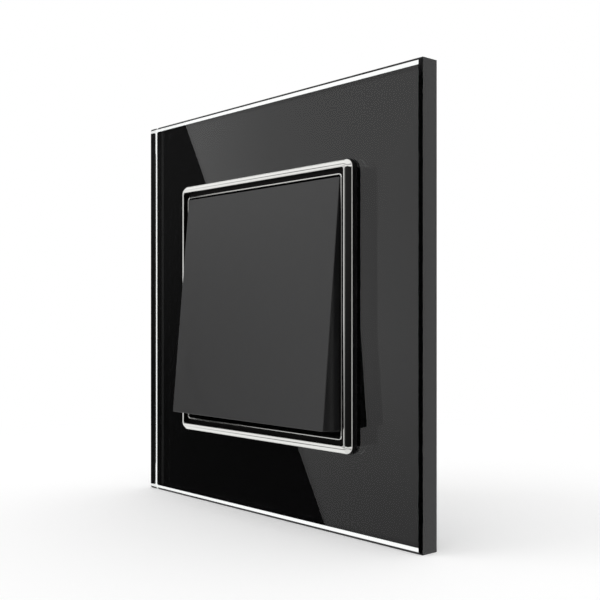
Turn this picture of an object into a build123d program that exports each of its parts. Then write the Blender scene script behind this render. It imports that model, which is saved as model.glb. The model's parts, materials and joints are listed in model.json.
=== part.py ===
from build123d import *
import os
from math import cos, radians, sin

# A flush-mounted two-way rocker light switch with a black glass panel.
# Everything is in millimetres. +Z is up, +X is to the right and the front faces -Y.
# The origin is on the wall plane, behind the middle of the panel.

# Glass panel and what is bonded behind it
panel_side = 80.0
glass_t = 3.9
glass_chamfer = 0.5
film_t = 0.2
film_inset = 0.47
film_corner_r = 0.4
tape_t = 0.4
tape_width = 6.9
tape_hole_margin = 2.0

# Carrier frame and the steel support plate on the wall
carrier_corner_r = 4.0
carrier_depth = 3.0
carrier_web_t = 1.4
carrier_rim_t = 1.2
carrier_wall_gap = 1.4
seat_pad_r = 2.0
seat_pad_inset = 5.5
seat_pad_spacing = 50.0
plate_t = 1.0
plate_margin = 5.0
plate_corner_r = 3.0
ear_clear = 0.2
ear_width = 9.0
ear_spacing = 36.0
ear_stand = 1.8
catch_width = 4.4
catch_height = 0.8
catch_clear = 0.1
catch_bite = 0.7

# Fixing slots for the screws of a standard wall box
fixing_spacing = 60.0
fixing_slot_length = 6.0
fixing_slot_width = 4.2
fixing_head_width = 8.0
fixing_head_length = 9.0

# Insert bezel and chrome ring
bezel_wall = 2.55
bezel_corner_r = 1.5
bezel_stand = 0.85
rocker_window_corner_r = 0.5
window_clear = 0.2
bezel_foot_t = 0.7
bezel_foot_bite = 0.7
bezel_foot_gap = 0.05
bezel_foot_clear = 0.1
ring_height = 0.95
ring_edge_height = 0.2
ring_crest_inset = 0.7
ring_crest_width = 0.65
ring_crest_drop = 0.17
ring_lip_width = 0.3
ring_lip_height = 0.52
ring_floor_height = 0.14
ring_peg_r = 0.5
ring_peg_length = 1.4
ring_peg_inset = 1.35
ring_peg_spacing = 32.0
peg_clear = 0.05

# Rocker and its rest position: the upper half is pressed in
rocker_side_gap = 0.15
rocker_end_gap = 0.85
rocker_corner_r = 0.3
rocker_edge_r = 0.1
rocker_face_t = 1.8
rocker_skirt_t = 1.5
rocker_skirt_depth = 7.0
rocker_tilt = 5.2
rocker_stand = 3.43
pivot_to_face = 6.5
cradle_t = 2.0
cradle_width = 27.6
cradle_height = 20.0
cradle_clip_t = 1.2
cradle_clip_width = 4.0
cradle_clip_spacing = 14.0
cradle_clip_bite = 0.6
cradle_clip_clear = 0.15
cradle_clip_barb = 0.7
cradle_arm_t = 2.4
cradle_arm_width = 6.0
cradle_arm_lip = 0.9
trunnion_r = 1.6
trunnion_clear = 0.05
bearing_t = 2.4
bearing_wall = 1.55
bearing_gap = 0.6
guide_tube_r = 3.2
guide_tube_reach = 8.0
guide_bore_r = 2.05
guide_bore_depth = 9.5

# Sprung plunger
plunger_clear = 0.05
plunger_head_length = 5.0
plunger_tip_r = 1.5
plunger_reach = 12.8
spring_length = 5.0
spring_r = 1.6
spring_wire_r = 0.2
spring_turns = 5

# Contact lever, a seesaw that tips with the rocker
lever_gap = 0.05
lever_tilt = 5.0
lever_t = 0.8
lever_offset = 1.6
lever_width = 5.0
lever_end = 1.6
lever_side_gap = 0.4
lever_pin_r = 0.8
lever_pin_step = 0.1
lever_lug_height = 2.4
lever_pin_clear = 0.05
contact_spacing = 22.0
contact_r = 1.75
contact_height = 0.8
contact_round = 0.35
contact_shank_r = 0.8
contact_gap_closed = 0.04

# Fixed strips, one for each terminal
strip_t = 0.8
strip_width = 4.0
strip_end_margin = 0.45
bracket_height = 5.0
bracket_wall = 0.8
bracket_lip = 0.8

# Screw terminals with rising cages
terminal_count = 3
strip_side_gap = 0.5
cage_end_step = 0.1
cage_side_t = 1.0
cage_front_t = 1.15
cage_back_t = 1.3
wire_entry_r = 1.4
wire_clear = 0.1
cage_clear = 0.15
screw_r = 1.5
screw_clear = 0.05
screw_head_r = 2.6
screw_end_gap = 0.1
screw_side_gap = 0.1
screw_head_height = 1.8
screw_slot_width = 0.8
screw_slot_depth = 0.9
cage_travel = 2.4

# Mechanism housing behind the wall plane
housing_wall = 1.5
housing_corner_r = 2.0
deck_clear = 1.0
deck_t = 1.5
flange_width = 4.35
plate_opening_clear = 0.2
tube_side_clear = 2.0
tube_end_clear = 2.6
partition_t = 1.2
ledge_bite = 0.8
ledge_height = 2.0
shelf_t = 0.8
shelf_gap = 0.6
strip_post_size = 2.0
cover_t = 1.5
driver_access_r = 1.9
boss_r = 2.0
boss_inset = 3.35
cover_screw_r = 1.2
cover_screw_length = 7.0
cover_screw_head_r = 2.2
cover_screw_head_height = 1.1
rivet_r = 1.2
rivet_head_r = 2.0
rivet_head_height = 0.7
rivet_sink = 0.05
rivet_gap = 0.25
rivet_spacing = 28.0

# Levels along Y, from the wall plane towards the front
plate_front_y = -plate_t
carrier_back_y = -carrier_wall_gap
carrier_front_y = carrier_back_y - carrier_depth
tape_front_y = carrier_front_y - tape_t
film_front_y = tape_front_y - film_t
glass_front_y = film_front_y - glass_t
bezel_front_y = glass_front_y - bezel_stand
web_back_y = carrier_front_y + carrier_web_t

# Terminals side by side, with their compartments
cage_width = strip_width + 2 * (strip_side_gap + cage_side_t)
cage_length = 2 * (screw_head_r - cage_end_step)
terminal_pitch = cage_width + 2 * cage_clear + partition_t
terminal_xs = {"common": terminal_pitch, "lower": 0.0, "upper": -terminal_pitch}
wire_space = 2 * wire_entry_r + wire_clear

# Housing round the terminals, the contacts and the bosses for the cover screws
contact_arm = contact_spacing / 2
boss_w = terminal_count * terminal_pitch - partition_t + 2 * boss_r
housing_width = boss_w + 2 * boss_inset
shelf_z = -contact_arm - contact_r - shelf_gap - shelf_t
terminal_z = shelf_z - cage_clear - cage_length / 2
housing_height = 2 * (screw_head_r + screw_side_gap + housing_wall - terminal_z)
boss_h = housing_height - 2 * boss_inset

# From the housing outwards: deck, rocker, bezel and panel window
deck_side = housing_width + 2 * flange_width
foot_opening = deck_side - 2 * bezel_foot_bite
rocker_window = deck_side + 2 * deck_clear
rocker_width = rocker_window - 2 * rocker_side_gap
rocker_height = rocker_window - 2 * rocker_end_gap
bezel_side = rocker_window + 2 * bezel_wall
window_side = bezel_side + 2 * window_clear
window_corner_r = bezel_corner_r + window_clear

# From the fixing slots outwards: support plate and carrier
plate_side = fixing_spacing + 2 * plate_margin
rim_inner_side = plate_side + 2 * ear_clear
carrier_side = rim_inner_side + 2 * carrier_rim_t

# The rocker turns about the X axis at this depth, and leans back at the top when at rest
tilt = radians(rocker_tilt)
pivot_y = glass_front_y - rocker_stand + pivot_to_face / cos(tilt)
rocker_plane = Plane(origin=(0, pivot_y, 0), x_dir=(1, 0, 0), z_dir=(0, -cos(tilt), sin(tilt)))
cradle_front = pivot_to_face - rocker_face_t
cradle_back = cradle_front - cradle_t
bearing_inner_x = cradle_width / 2 + bearing_gap
bearing_outer_x = bearing_inner_x + bearing_t
bore_end = guide_bore_depth - guide_tube_reach
plunger_head = bore_end - spring_length

# The lever turns about its own X axis behind the plunger, and leans the other way
lean = radians(lever_tilt)
lever_axis_y = pivot_y + plunger_reach + lever_gap + lever_offset
lever_plane = Plane(origin=(0, lever_axis_y, 0), x_dir=(1, 0, 0), z_dir=(0, -cos(lean), -sin(lean)))
lever_back = lever_offset - lever_t

# The closed pair of contacts sets the depth of all the fixed strips
closed_y = (
    lever_axis_y
    - (lever_back - contact_height + contact_round) * cos(lean)
    + (contact_arm + contact_r - contact_round) * sin(lean)
    + contact_round
)
strip_front_y = closed_y + contact_gap_closed + contact_height
strip_back_y = strip_front_y + strip_t
wire_y = strip_front_y - wire_space / 2
cage_open_front_y = strip_front_y - wire_space
cage_front_y = cage_open_front_y - cage_front_t
cage_open_back_y = strip_back_y + cage_clear
cage_back_y = cage_open_back_y + cage_back_t
screw_tip_y = strip_back_y + screw_clear
screw_head_y = cage_back_y + cage_travel + screw_end_gap
cover_front_y = screw_head_y + screw_head_height + screw_end_gap
cover_back_y = cover_front_y + cover_t

# Cones stand on their wide end
standing = (Align.CENTER, Align.CENTER, Align.MIN)

os.makedirs("parts", exist_ok=True)


def across(y):
    """A plane across the switch at depth y: x to the right, z up, facing the front."""
    return Plane.XZ.offset(-y)


def save(builder, label):
    """Name the finished piece and write it out."""
    builder.part.label = label
    export_step(builder.part, f"parts/{label}.step")


def four_sides(distance):
    """A place at the middle of each side of a square, turned to face outwards."""
    return PolarLocations(distance, 4)


# Glass panel: ground and polished float glass, bevelled in front, with a square window
with BuildPart() as glass_panel:
    with BuildSketch(across(film_front_y)):
        Rectangle(panel_side, panel_side)
    extrude(amount=glass_t)
    chamfer(glass_panel.faces().sort_by(Axis.Y)[0].edges(), glass_chamfer)
    with BuildSketch(across(film_front_y)):
        RectangleRounded(window_side, window_side, window_corner_r)
    extrude(amount=glass_t, mode=Mode.SUBTRACT)
save(glass_panel, "glass_panel")

# Black backing film: stops just short of the glass edge, so that a clear rim shows
with BuildPart() as backing_film:
    film_side = panel_side - 2 * film_inset
    with BuildSketch(across(tape_front_y)):
        RectangleRounded(film_side, film_side, film_corner_r)
        RectangleRounded(window_side, window_side, window_corner_r, mode=Mode.SUBTRACT)
    extrude(amount=film_t)
save(backing_film, "backing_film")

# Bonding tape between the film and the carrier
with BuildPart() as bonding_tape:
    tape_hole = window_side + 2 * tape_hole_margin
    tape_side = tape_hole + 2 * tape_width
    with BuildSketch(across(carrier_front_y)):
        Rectangle(tape_side, tape_side)
        Rectangle(tape_hole, tape_hole, mode=Mode.SUBTRACT)
    extrude(amount=tape_t)
save(bonding_tape, "bonding_tape")

# Carrier frame: a shallow tray with a rim, seat pads and four catches for the plate's ears
with BuildPart() as carrier_frame:
    seat_pad_line = carrier_side - 2 * seat_pad_inset
    with BuildSketch(across(carrier_back_y)):
        RectangleRounded(carrier_side, carrier_side, carrier_corner_r)
    extrude(amount=carrier_depth)
    with BuildSketch(across(carrier_back_y)):
        RectangleRounded(rim_inner_side, rim_inner_side, carrier_corner_r - carrier_rim_t)
    extrude(amount=carrier_depth - carrier_web_t, mode=Mode.SUBTRACT)
    with BuildSketch(across(web_back_y)):
        RectangleRounded(window_side, window_side, window_corner_r)
        with four_sides(fixing_spacing / 2):
            Rectangle(fixing_head_length, fixing_head_width)
    extrude(amount=carrier_web_t, mode=Mode.SUBTRACT)
    with BuildSketch(across(plate_front_y)):
        with GridLocations(seat_pad_spacing, seat_pad_line, 2, 2):
            Circle(seat_pad_r)
        with GridLocations(seat_pad_line, seat_pad_spacing, 2, 2):
            Circle(seat_pad_r)
    extrude(amount=plate_front_y - web_back_y)
    ear_middle_y = plate_front_y - ear_stand / 2
    with BuildSketch(across(ear_middle_y + catch_height / 2 - catch_clear)):
        with GridLocations(rim_inner_side, ear_spacing, 2, 2):
            Rectangle(2 * catch_bite, catch_width - 2 * catch_clear)
    extrude(amount=catch_height - 2 * catch_clear)
save(carrier_frame, "carrier_frame")

# Support plate: galvanised steel with radial fixing slots, countersunk holes and folded ears
with BuildPart() as support_plate:
    plate_opening_w = housing_width + 2 * plate_opening_clear
    plate_opening_h = housing_height + 2 * plate_opening_clear
    rivet_x = housing_width / 2 + rivet_gap + rivet_head_r
    with BuildSketch(across(0)):
        RectangleRounded(plate_side, plate_side, plate_corner_r)
        RectangleRounded(plate_opening_w, plate_opening_h, housing_corner_r, mode=Mode.SUBTRACT)
        with four_sides(fixing_spacing / 2):
            SlotOverall(fixing_slot_length, fixing_slot_width, mode=Mode.SUBTRACT)
        with GridLocations(2 * rivet_x, rivet_spacing, 2, 2):
            Circle(rivet_r, mode=Mode.SUBTRACT)
    extrude(amount=plate_t)
    with BuildSketch(across(plate_front_y)):
        with GridLocations(plate_side - plate_t, ear_spacing, 2, 2):
            Rectangle(plate_t, ear_width)
    extrude(amount=ear_stand)
    with BuildSketch(across(ear_middle_y + catch_height / 2)):
        with GridLocations(plate_side - plate_t, ear_spacing, 2, 2):
            Rectangle(2 * plate_t, catch_width)
    extrude(amount=catch_height, mode=Mode.SUBTRACT)
    with Locations(across(0)):
        with GridLocations(2 * rivet_x, rivet_spacing, 2, 2):
            Cone(rivet_head_r, rivet_r, rivet_head_height, align=standing, mode=Mode.SUBTRACT)
save(support_plate, "support_plate")

# Insert bezel: a square collar that stands through the glass, with a foot under the deck
with BuildPart() as insert_bezel:
    peg_place = bezel_side - 2 * ring_peg_inset
    with BuildSketch(across(plate_front_y)):
        RectangleRounded(bezel_side, bezel_side, bezel_corner_r)
        RectangleRounded(rocker_window, rocker_window, rocker_window_corner_r, mode=Mode.SUBTRACT)
    extrude(amount=plate_front_y - bezel_front_y)
    with BuildSketch(across(bezel_front_y + ring_peg_length + peg_clear)):
        with GridLocations(ring_peg_spacing, peg_place, 2, 2):
            Circle(ring_peg_r + peg_clear)
        with GridLocations(peg_place, ring_peg_spacing, 2, 2):
            Circle(ring_peg_r + peg_clear)
    extrude(amount=ring_peg_length + peg_clear, mode=Mode.SUBTRACT)
    with BuildSketch(across(plate_front_y)):
        RectangleRounded(bezel_side, bezel_side, bezel_corner_r)
        Rectangle(foot_opening, foot_opening, mode=Mode.SUBTRACT)
    extrude(amount=bezel_foot_t)
save(insert_bezel, "insert_bezel")

# Chrome ring: a broad outer slope, a crest that leans outwards, a cove and a thin lip
with BuildPart() as chrome_ring:
    outer = bezel_side / 2
    crest_outer = outer - ring_crest_inset
    crest_outer_y = bezel_front_y - ring_height + ring_crest_drop
    crest_inner = crest_outer - ring_crest_width
    lip_inner = rocker_window / 2
    lip_outer = lip_inner + ring_lip_width
    with BuildSketch(across(bezel_front_y)):
        RectangleRounded(bezel_side, bezel_side, bezel_corner_r)
        RectangleRounded(rocker_window, rocker_window, rocker_window_corner_r, mode=Mode.SUBTRACT)
    extrude(amount=ring_edge_height)
    with BuildSketch(across(bezel_front_y - ring_edge_height)):
        RectangleRounded(bezel_side, bezel_side, bezel_corner_r)
    with BuildSketch(across(crest_outer_y)):
        RectangleRounded(2 * crest_outer, 2 * crest_outer, bezel_corner_r - ring_crest_inset)
    loft()
    with BuildSketch(across(crest_outer_y)):
        RectangleRounded(2 * crest_outer, 2 * crest_outer, bezel_corner_r - ring_crest_inset)
    with BuildSketch(across(bezel_front_y - ring_height)):
        RectangleRounded(2 * crest_inner, 2 * crest_inner, rocker_window_corner_r)
    loft()
    with BuildSketch(across(bezel_front_y - ring_floor_height)):
        RectangleRounded(2 * crest_inner, 2 * crest_inner, rocker_window_corner_r)
    extrude(amount=ring_height, mode=Mode.SUBTRACT)
    with BuildSketch(across(bezel_front_y - ring_floor_height)):
        RectangleRounded(2 * lip_outer, 2 * lip_outer, rocker_window_corner_r + ring_lip_width)
    extrude(amount=ring_lip_height - ring_floor_height)
    with BuildSketch(across(bezel_front_y)):
        RectangleRounded(rocker_window, rocker_window, rocker_window_corner_r)
    extrude(amount=ring_height, mode=Mode.SUBTRACT)
    with BuildSketch(across(bezel_front_y + ring_peg_length)):
        with GridLocations(ring_peg_spacing, peg_place, 2, 2):
            Circle(ring_peg_r)
        with GridLocations(peg_place, ring_peg_spacing, 2, 2):
            Circle(ring_peg_r)
    extrude(amount=ring_peg_length)
save(chrome_ring, "chrome_ring")

# Mechanism housing: a deck inside the bezel, two bearings and a box through the plate
with BuildPart() as mechanism_housing:
    deck_front_y = plate_front_y - deck_t
    cavity_w = housing_width - 2 * housing_wall
    cavity_h = housing_height - 2 * housing_wall
    partition_h = shelf_z + shelf_t + cavity_h / 2
    bearing_r = trunnion_r + bearing_wall
    deck_back_side = foot_opening - 2 * bezel_foot_clear
    deck_edge_t = deck_t - bezel_foot_t - bezel_foot_gap
    with BuildSketch(across(plate_front_y)):
        Rectangle(deck_back_side, deck_back_side)
    extrude(amount=deck_t)
    with BuildSketch(across(deck_front_y + deck_edge_t)):
        Rectangle(deck_side, deck_side)
    extrude(amount=deck_edge_t)
    with BuildSketch(across(cover_front_y)):
        RectangleRounded(housing_width, housing_height, housing_corner_r)
    extrude(amount=cover_front_y - plate_front_y)
    with BuildSketch(across(cover_front_y)):
        Rectangle(cavity_w, cavity_h)
    extrude(amount=cover_front_y - plate_front_y, mode=Mode.SUBTRACT)
    with BuildSketch(across(cover_front_y)):
        with GridLocations(boss_w, boss_h, 2, 2):
            Rectangle(2 * boss_r, 2 * boss_r)
    extrude(amount=cover_front_y - plate_front_y)
    with BuildSketch(across(cover_front_y)):
        with Locations((0, (partition_h - cavity_h) / 2)):
            with GridLocations(terminal_pitch, 0, terminal_count + 1, 1):
                Rectangle(partition_t, partition_h)
    extrude(amount=cover_front_y - plate_front_y)
    with BuildSketch(across(strip_front_y)):
        for side in (-1, 1):
            outer_x = side * cavity_w / 2
            inner_x = side * (terminal_pitch + strip_width / 2 - ledge_bite)
            with Locations(((outer_x + inner_x) / 2, terminal_z / 2), ((outer_x + inner_x) / 2, 0)):
                Rectangle(abs(outer_x - inner_x), ledge_height)
        with Locations((0, shelf_z + shelf_t / 2)):
            Rectangle(terminal_pitch, shelf_t)
    extrude(amount=ledge_height)
    with BuildSketch(across(deck_front_y)):
        Rectangle(2 * (guide_tube_r + tube_side_clear), 2 * (guide_tube_r + tube_end_clear))
    extrude(amount=-deck_t, mode=Mode.SUBTRACT)
    for side in (-1, 1):
        with BuildSketch(Plane.YZ.offset(side * (bearing_inner_x + bearing_t / 2))):
            with Locations((pivot_y, 0)):
                Circle(bearing_r)
            with Locations(((pivot_y + plate_front_y) / 2, 0)):
                Rectangle(plate_front_y - pivot_y, 2 * bearing_r)
            with Locations((pivot_y, 0)):
                Circle(trunnion_r + trunnion_clear, mode=Mode.SUBTRACT)
        extrude(amount=bearing_t / 2, both=True)
    with BuildSketch(across(cover_front_y)):
        with GridLocations(boss_w, boss_h, 2, 2):
            Circle(cover_screw_r + screw_clear)
    extrude(amount=cover_screw_length, mode=Mode.SUBTRACT)
    with BuildSketch(across(plate_front_y)):
        with GridLocations(2 * rivet_x, rivet_spacing, 2, 2):
            Circle(rivet_r)
    extrude(amount=deck_t, mode=Mode.SUBTRACT)
    with BuildSketch(Plane.XY.offset(-housing_height / 2)):
        with Locations((0, wire_y)):
            with GridLocations(terminal_pitch, 0, terminal_count, 1):
                Circle(wire_entry_r)
    extrude(amount=housing_wall, mode=Mode.SUBTRACT)
save(mechanism_housing, "mechanism_housing")

# Rivets that join the deck to the support plate, flush at the wall side
with BuildPart() as flange_rivets:
    with BuildSketch(across(0)):
        with GridLocations(2 * rivet_x, rivet_spacing, 2, 2):
            Circle(rivet_r)
    extrude(amount=plate_t + deck_t)
    with Locations(across(0)):
        with GridLocations(2 * rivet_x, rivet_spacing, 2, 2):
            Cone(rivet_head_r, rivet_r, rivet_head_height, align=standing)
    with BuildSketch(across(0)):
        with GridLocations(2 * rivet_x, rivet_spacing, 2, 2):
            Circle(rivet_head_r)
    extrude(amount=rivet_sink, mode=Mode.SUBTRACT)
    with BuildSketch(across(deck_front_y)):
        with GridLocations(2 * rivet_x, rivet_spacing, 2, 2):
            Circle(rivet_head_r)
    extrude(amount=rivet_head_height)
save(flange_rivets, "flange_rivets")

# Rear cover: closes the housing, with driver access holes and posts that hold the strips
with BuildPart() as rear_cover:
    with BuildSketch(across(cover_back_y)):
        RectangleRounded(housing_width, housing_height, housing_corner_r)
        with Locations((0, terminal_z)):
            with GridLocations(terminal_pitch, 0, terminal_count, 1):
                Circle(driver_access_r, mode=Mode.SUBTRACT)
        with GridLocations(boss_w, boss_h, 2, 2):
            Circle(cover_screw_r + screw_clear, mode=Mode.SUBTRACT)
    extrude(amount=cover_t)
    with BuildSketch(across(cover_front_y)):
        with GridLocations(2 * terminal_pitch, 0, 2, 1):
            Rectangle(strip_post_size, strip_post_size)
        with Locations((0, contact_shank_r + strip_post_size / 2 - contact_arm)):
            Rectangle(strip_post_size, strip_post_size / 2)
        with Locations((-terminal_pitch, contact_arm)):
            Rectangle(strip_post_size, strip_post_size)
    extrude(amount=cover_front_y - strip_back_y)
    with Locations(across(cover_back_y)):
        with GridLocations(boss_w, boss_h, 2, 2):
            Cone(
                cover_screw_head_r,
                cover_screw_r + screw_clear,
                cover_screw_head_height,
                align=standing,
                mode=Mode.SUBTRACT,
            )
save(rear_cover, "rear_cover")

# Countersunk screws that hold the rear cover
with BuildPart() as cover_screws:
    with BuildSketch(across(cover_back_y)):
        with GridLocations(boss_w, boss_h, 2, 2):
            Circle(cover_screw_r)
    extrude(amount=cover_screw_length + cover_t - screw_clear)
    with Locations(across(cover_back_y)):
        with GridLocations(boss_w, boss_h, 2, 2):
            Cone(
                cover_screw_head_r - screw_clear,
                cover_screw_r,
                cover_screw_head_height,
                align=standing,
            )
save(cover_screws, "cover_screws")

# Common strip: a bracket that carries the lever, and an arm down to its terminal
with BuildPart() as common_strip:
    strip_low_z = terminal_z - cage_length / 2
    strip_h = strip_width / 2 - strip_low_z
    arm_length = terminal_pitch + strip_width / 2
    ear_front_y = lever_axis_y - lever_pin_r - bracket_lip
    bracket_width = lever_width + 2 * (lever_side_gap + bracket_wall)
    with BuildSketch(across(strip_back_y)):
        Rectangle(bracket_width, bracket_height)
        with Locations((arm_length / 2, 0)):
            Rectangle(arm_length, strip_width)
        with Locations((terminal_pitch, strip_low_z + strip_h / 2)):
            Rectangle(strip_width, strip_h)
    extrude(amount=strip_t)
    with BuildSketch(across(strip_front_y)):
        with GridLocations(bracket_width - bracket_wall, 0, 2, 1):
            Rectangle(bracket_wall, bracket_height)
    extrude(amount=strip_front_y - ear_front_y)
    with BuildSketch(Plane.YZ):
        with Locations((lever_axis_y, 0)):
            Circle(lever_pin_r + lever_pin_clear)
    extrude(amount=bracket_width / 2, both=True, mode=Mode.SUBTRACT)
save(common_strip, "common_strip")

# Lower strip: from the lower fixed contact straight down to the middle terminal
with BuildPart() as lower_strip:
    contact_end = contact_r + strip_end_margin
    lower_h = contact_end - contact_arm - strip_low_z
    with BuildSketch(across(strip_back_y)):
        with Locations((0, strip_low_z + lower_h / 2)):
            Rectangle(strip_width, lower_h)
        with Locations((0, -contact_arm)):
            Circle(contact_shank_r, mode=Mode.SUBTRACT)
    extrude(amount=strip_t)
save(lower_strip, "lower_strip")

# Upper strip: from the upper fixed contact across, and down past the lever
with BuildPart() as upper_strip:
    upper_h = contact_arm + strip_width / 2 - strip_low_z
    upper_w = terminal_pitch + strip_width / 2 + contact_end
    with BuildSketch(across(strip_back_y)):
        with Locations((contact_end - upper_w / 2, contact_arm)):
            Rectangle(upper_w, strip_width)
        with Locations((-terminal_pitch, strip_low_z + upper_h / 2)):
            Rectangle(strip_width, upper_h)
        with Locations((0, contact_arm)):
            Circle(contact_shank_r, mode=Mode.SUBTRACT)
    extrude(amount=strip_t)
save(upper_strip, "upper_strip")

# Fixed contacts: two silver rivets, one in each strip
with BuildPart() as fixed_contacts:
    with BuildSketch(across(strip_back_y)):
        with GridLocations(0, contact_spacing, 1, 2):
            Circle(contact_shank_r)
    extrude(amount=strip_t)
    with BuildSketch(across(strip_front_y)):
        with GridLocations(0, contact_spacing, 1, 2):
            Circle(contact_r)
    extrude(amount=contact_height)
save(fixed_contacts, "fixed_contacts")

# Terminals: each has a rising cage round its strip, and a screw held in by the rear cover
for terminal, terminal_x in terminal_xs.items():
    with BuildPart() as terminal_cage:
        with BuildSketch(across(cage_back_y)):
            with Locations((terminal_x, terminal_z)):
                Rectangle(cage_width, cage_length)
        extrude(amount=cage_back_y - cage_front_y)
        with BuildSketch(across(cage_open_back_y)):
            with Locations((terminal_x, terminal_z)):
                Rectangle(cage_width - 2 * cage_side_t, cage_length)
        extrude(amount=cage_open_back_y - cage_open_front_y, mode=Mode.SUBTRACT)
        with BuildSketch(across(cage_back_y)):
            with Locations((terminal_x, terminal_z)):
                Circle(screw_r + screw_clear)
        extrude(amount=cage_back_t, mode=Mode.SUBTRACT)
    save(terminal_cage, f"{terminal}_terminal_cage")

    with BuildPart() as terminal_screw:
        with BuildSketch(across(screw_head_y)):
            with Locations((terminal_x, terminal_z)):
                Circle(screw_r)
        extrude(amount=screw_head_y - screw_tip_y)
        with BuildSketch(across(screw_head_y + screw_head_height)):
            with Locations((terminal_x, terminal_z)):
                Circle(screw_head_r)
        extrude(amount=screw_head_height)
        with BuildSketch(across(screw_head_y + screw_head_height)):
            with Locations((terminal_x, terminal_z)):
                Rectangle(2 * screw_head_r, screw_slot_width)
        extrude(amount=screw_slot_depth, mode=Mode.SUBTRACT)
    save(terminal_screw, f"{terminal}_terminal_screw")

# Rocker cap: a hollow square paddle with four clips for the cradle
with BuildPart() as rocker_cap:
    clip_x = cradle_width / 2 + cradle_clip_t / 2
    clip_barb_top = cradle_back - cradle_clip_clear
    clip_end = clip_barb_top - cradle_clip_barb
    with BuildSketch(rocker_plane.offset(pivot_to_face - rocker_skirt_depth)):
        RectangleRounded(rocker_width, rocker_height, rocker_corner_r)
    extrude(amount=rocker_skirt_depth)
    fillet(rocker_cap.faces().sort_by(Axis((0, 0, 0), rocker_plane.z_dir))[-1].edges(), rocker_edge_r)
    with BuildSketch(rocker_plane.offset(pivot_to_face - rocker_skirt_depth)):
        Rectangle(rocker_width - 2 * rocker_skirt_t, rocker_height - 2 * rocker_skirt_t)
    extrude(amount=rocker_skirt_depth - rocker_face_t, mode=Mode.SUBTRACT)
    with BuildSketch(rocker_plane.offset(clip_end)):
        with GridLocations(2 * clip_x, cradle_clip_spacing, 2, 2):
            Rectangle(cradle_clip_t, cradle_clip_width)
    extrude(amount=cradle_front - clip_end)
    with BuildSketch(rocker_plane.offset(clip_end)):
        with GridLocations(cradle_width, cradle_clip_spacing, 2, 2):
            Rectangle(2 * cradle_clip_bite, cradle_clip_width)
    extrude(amount=cradle_clip_barb)
save(rocker_cap, "rocker_cap")

# Rocker cradle: carries the cap, turns on two trunnions and guides the plunger
with BuildPart() as rocker_cradle:
    arm_end = -trunnion_r - cradle_arm_lip
    with BuildSketch(rocker_plane.offset(cradle_back)):
        Rectangle(cradle_width, cradle_height)
    extrude(amount=cradle_t)
    with BuildSketch(rocker_plane.offset(arm_end)):
        with GridLocations(cradle_width - cradle_arm_t, 0, 2, 1):
            Rectangle(cradle_arm_t, cradle_arm_width)
    extrude(amount=cradle_back - arm_end)
    with BuildSketch(rocker_plane.offset(-guide_tube_reach)):
        Circle(guide_tube_r)
    extrude(amount=guide_tube_reach + cradle_back)
    with BuildSketch(rocker_plane.offset(-guide_tube_reach)):
        Circle(guide_bore_r)
    extrude(amount=guide_bore_depth, mode=Mode.SUBTRACT)
    for side in (-1, 1):
        with BuildSketch(Plane.YZ.offset(side * cradle_width / 2)):
            with Locations((pivot_y, 0)):
                Circle(trunnion_r)
        extrude(amount=side * (bearing_outer_x - cradle_width / 2))
save(rocker_cradle, "rocker_cradle")

# Plunger: slides in the cradle's tube and presses on the lever with a round tip
with BuildPart() as plunger:
    with BuildSketch(rocker_plane.offset(plunger_tip_r - plunger_reach)):
        Circle(plunger_tip_r)
    extrude(amount=plunger_reach - plunger_tip_r + plunger_head - plunger_head_length)
    with Locations(rocker_plane.offset(plunger_tip_r - plunger_reach)):
        Sphere(plunger_tip_r)
    with BuildSketch(rocker_plane.offset(plunger_head - plunger_head_length)):
        Circle(guide_bore_r - plunger_clear)
    extrude(amount=plunger_head_length)
save(plunger, "plunger")

# Plunger spring: a compression coil between the plunger and the end of the bore
with BuildPart() as plunger_spring:
    coil_height = spring_length - 2 * spring_wire_r
    coil_start = rocker_plane.offset(plunger_head + spring_wire_r)
    with BuildLine() as coil:
        Helix(
            pitch=coil_height / spring_turns,
            height=coil_height,
            radius=spring_r,
            center=coil_start.origin,
            direction=coil_start.z_dir,
        )
    with BuildSketch(Plane(origin=coil.line @ 0, z_dir=coil.line % 0)):
        Circle(spring_wire_r)
    sweep(path=coil.line, is_frenet=True)
save(plunger_spring, "plunger_spring")

# Contact lever: tips on two pins in the common strip's bracket
with BuildPart() as contact_lever:
    lever_pin_length = lever_side_gap + bracket_wall - lever_pin_step
    with BuildSketch(lever_plane.offset(lever_back)):
        Rectangle(lever_width, contact_spacing + 2 * lever_end)
        with GridLocations(0, contact_spacing, 1, 2):
            Circle(contact_shank_r, mode=Mode.SUBTRACT)
    extrude(amount=lever_t)
    with BuildSketch(lever_plane.offset(-lever_pin_r)):
        with GridLocations(lever_width - lever_t, 0, 2, 1):
            Rectangle(lever_t, lever_lug_height)
    extrude(amount=lever_pin_r + lever_back)
    for side in (-1, 1):
        with BuildSketch(Plane.YZ.offset(side * lever_width / 2)):
            with Locations((lever_axis_y, 0)):
                Circle(lever_pin_r)
        extrude(amount=side * lever_pin_length)
save(contact_lever, "contact_lever")

# Moving contacts: two silver rivets at the ends of the lever
with BuildPart() as moving_contacts:
    with BuildSketch(lever_plane.offset(lever_back - contact_height)):
        with GridLocations(0, contact_spacing, 1, 2):
            Circle(contact_r)
    extrude(amount=contact_height)
    contact_faces = moving_contacts.faces().sort_by(Axis((0, 0, 0), lever_plane.z_dir))[:2]
    fillet([edge for face in contact_faces for edge in face.edges()], contact_round)
    with BuildSketch(lever_plane.offset(lever_back)):
        with GridLocations(0, contact_spacing, 1, 2):
            Circle(contact_shank_r)
    extrude(amount=lever_t)
save(moving_contacts, "moving_contacts")
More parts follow.
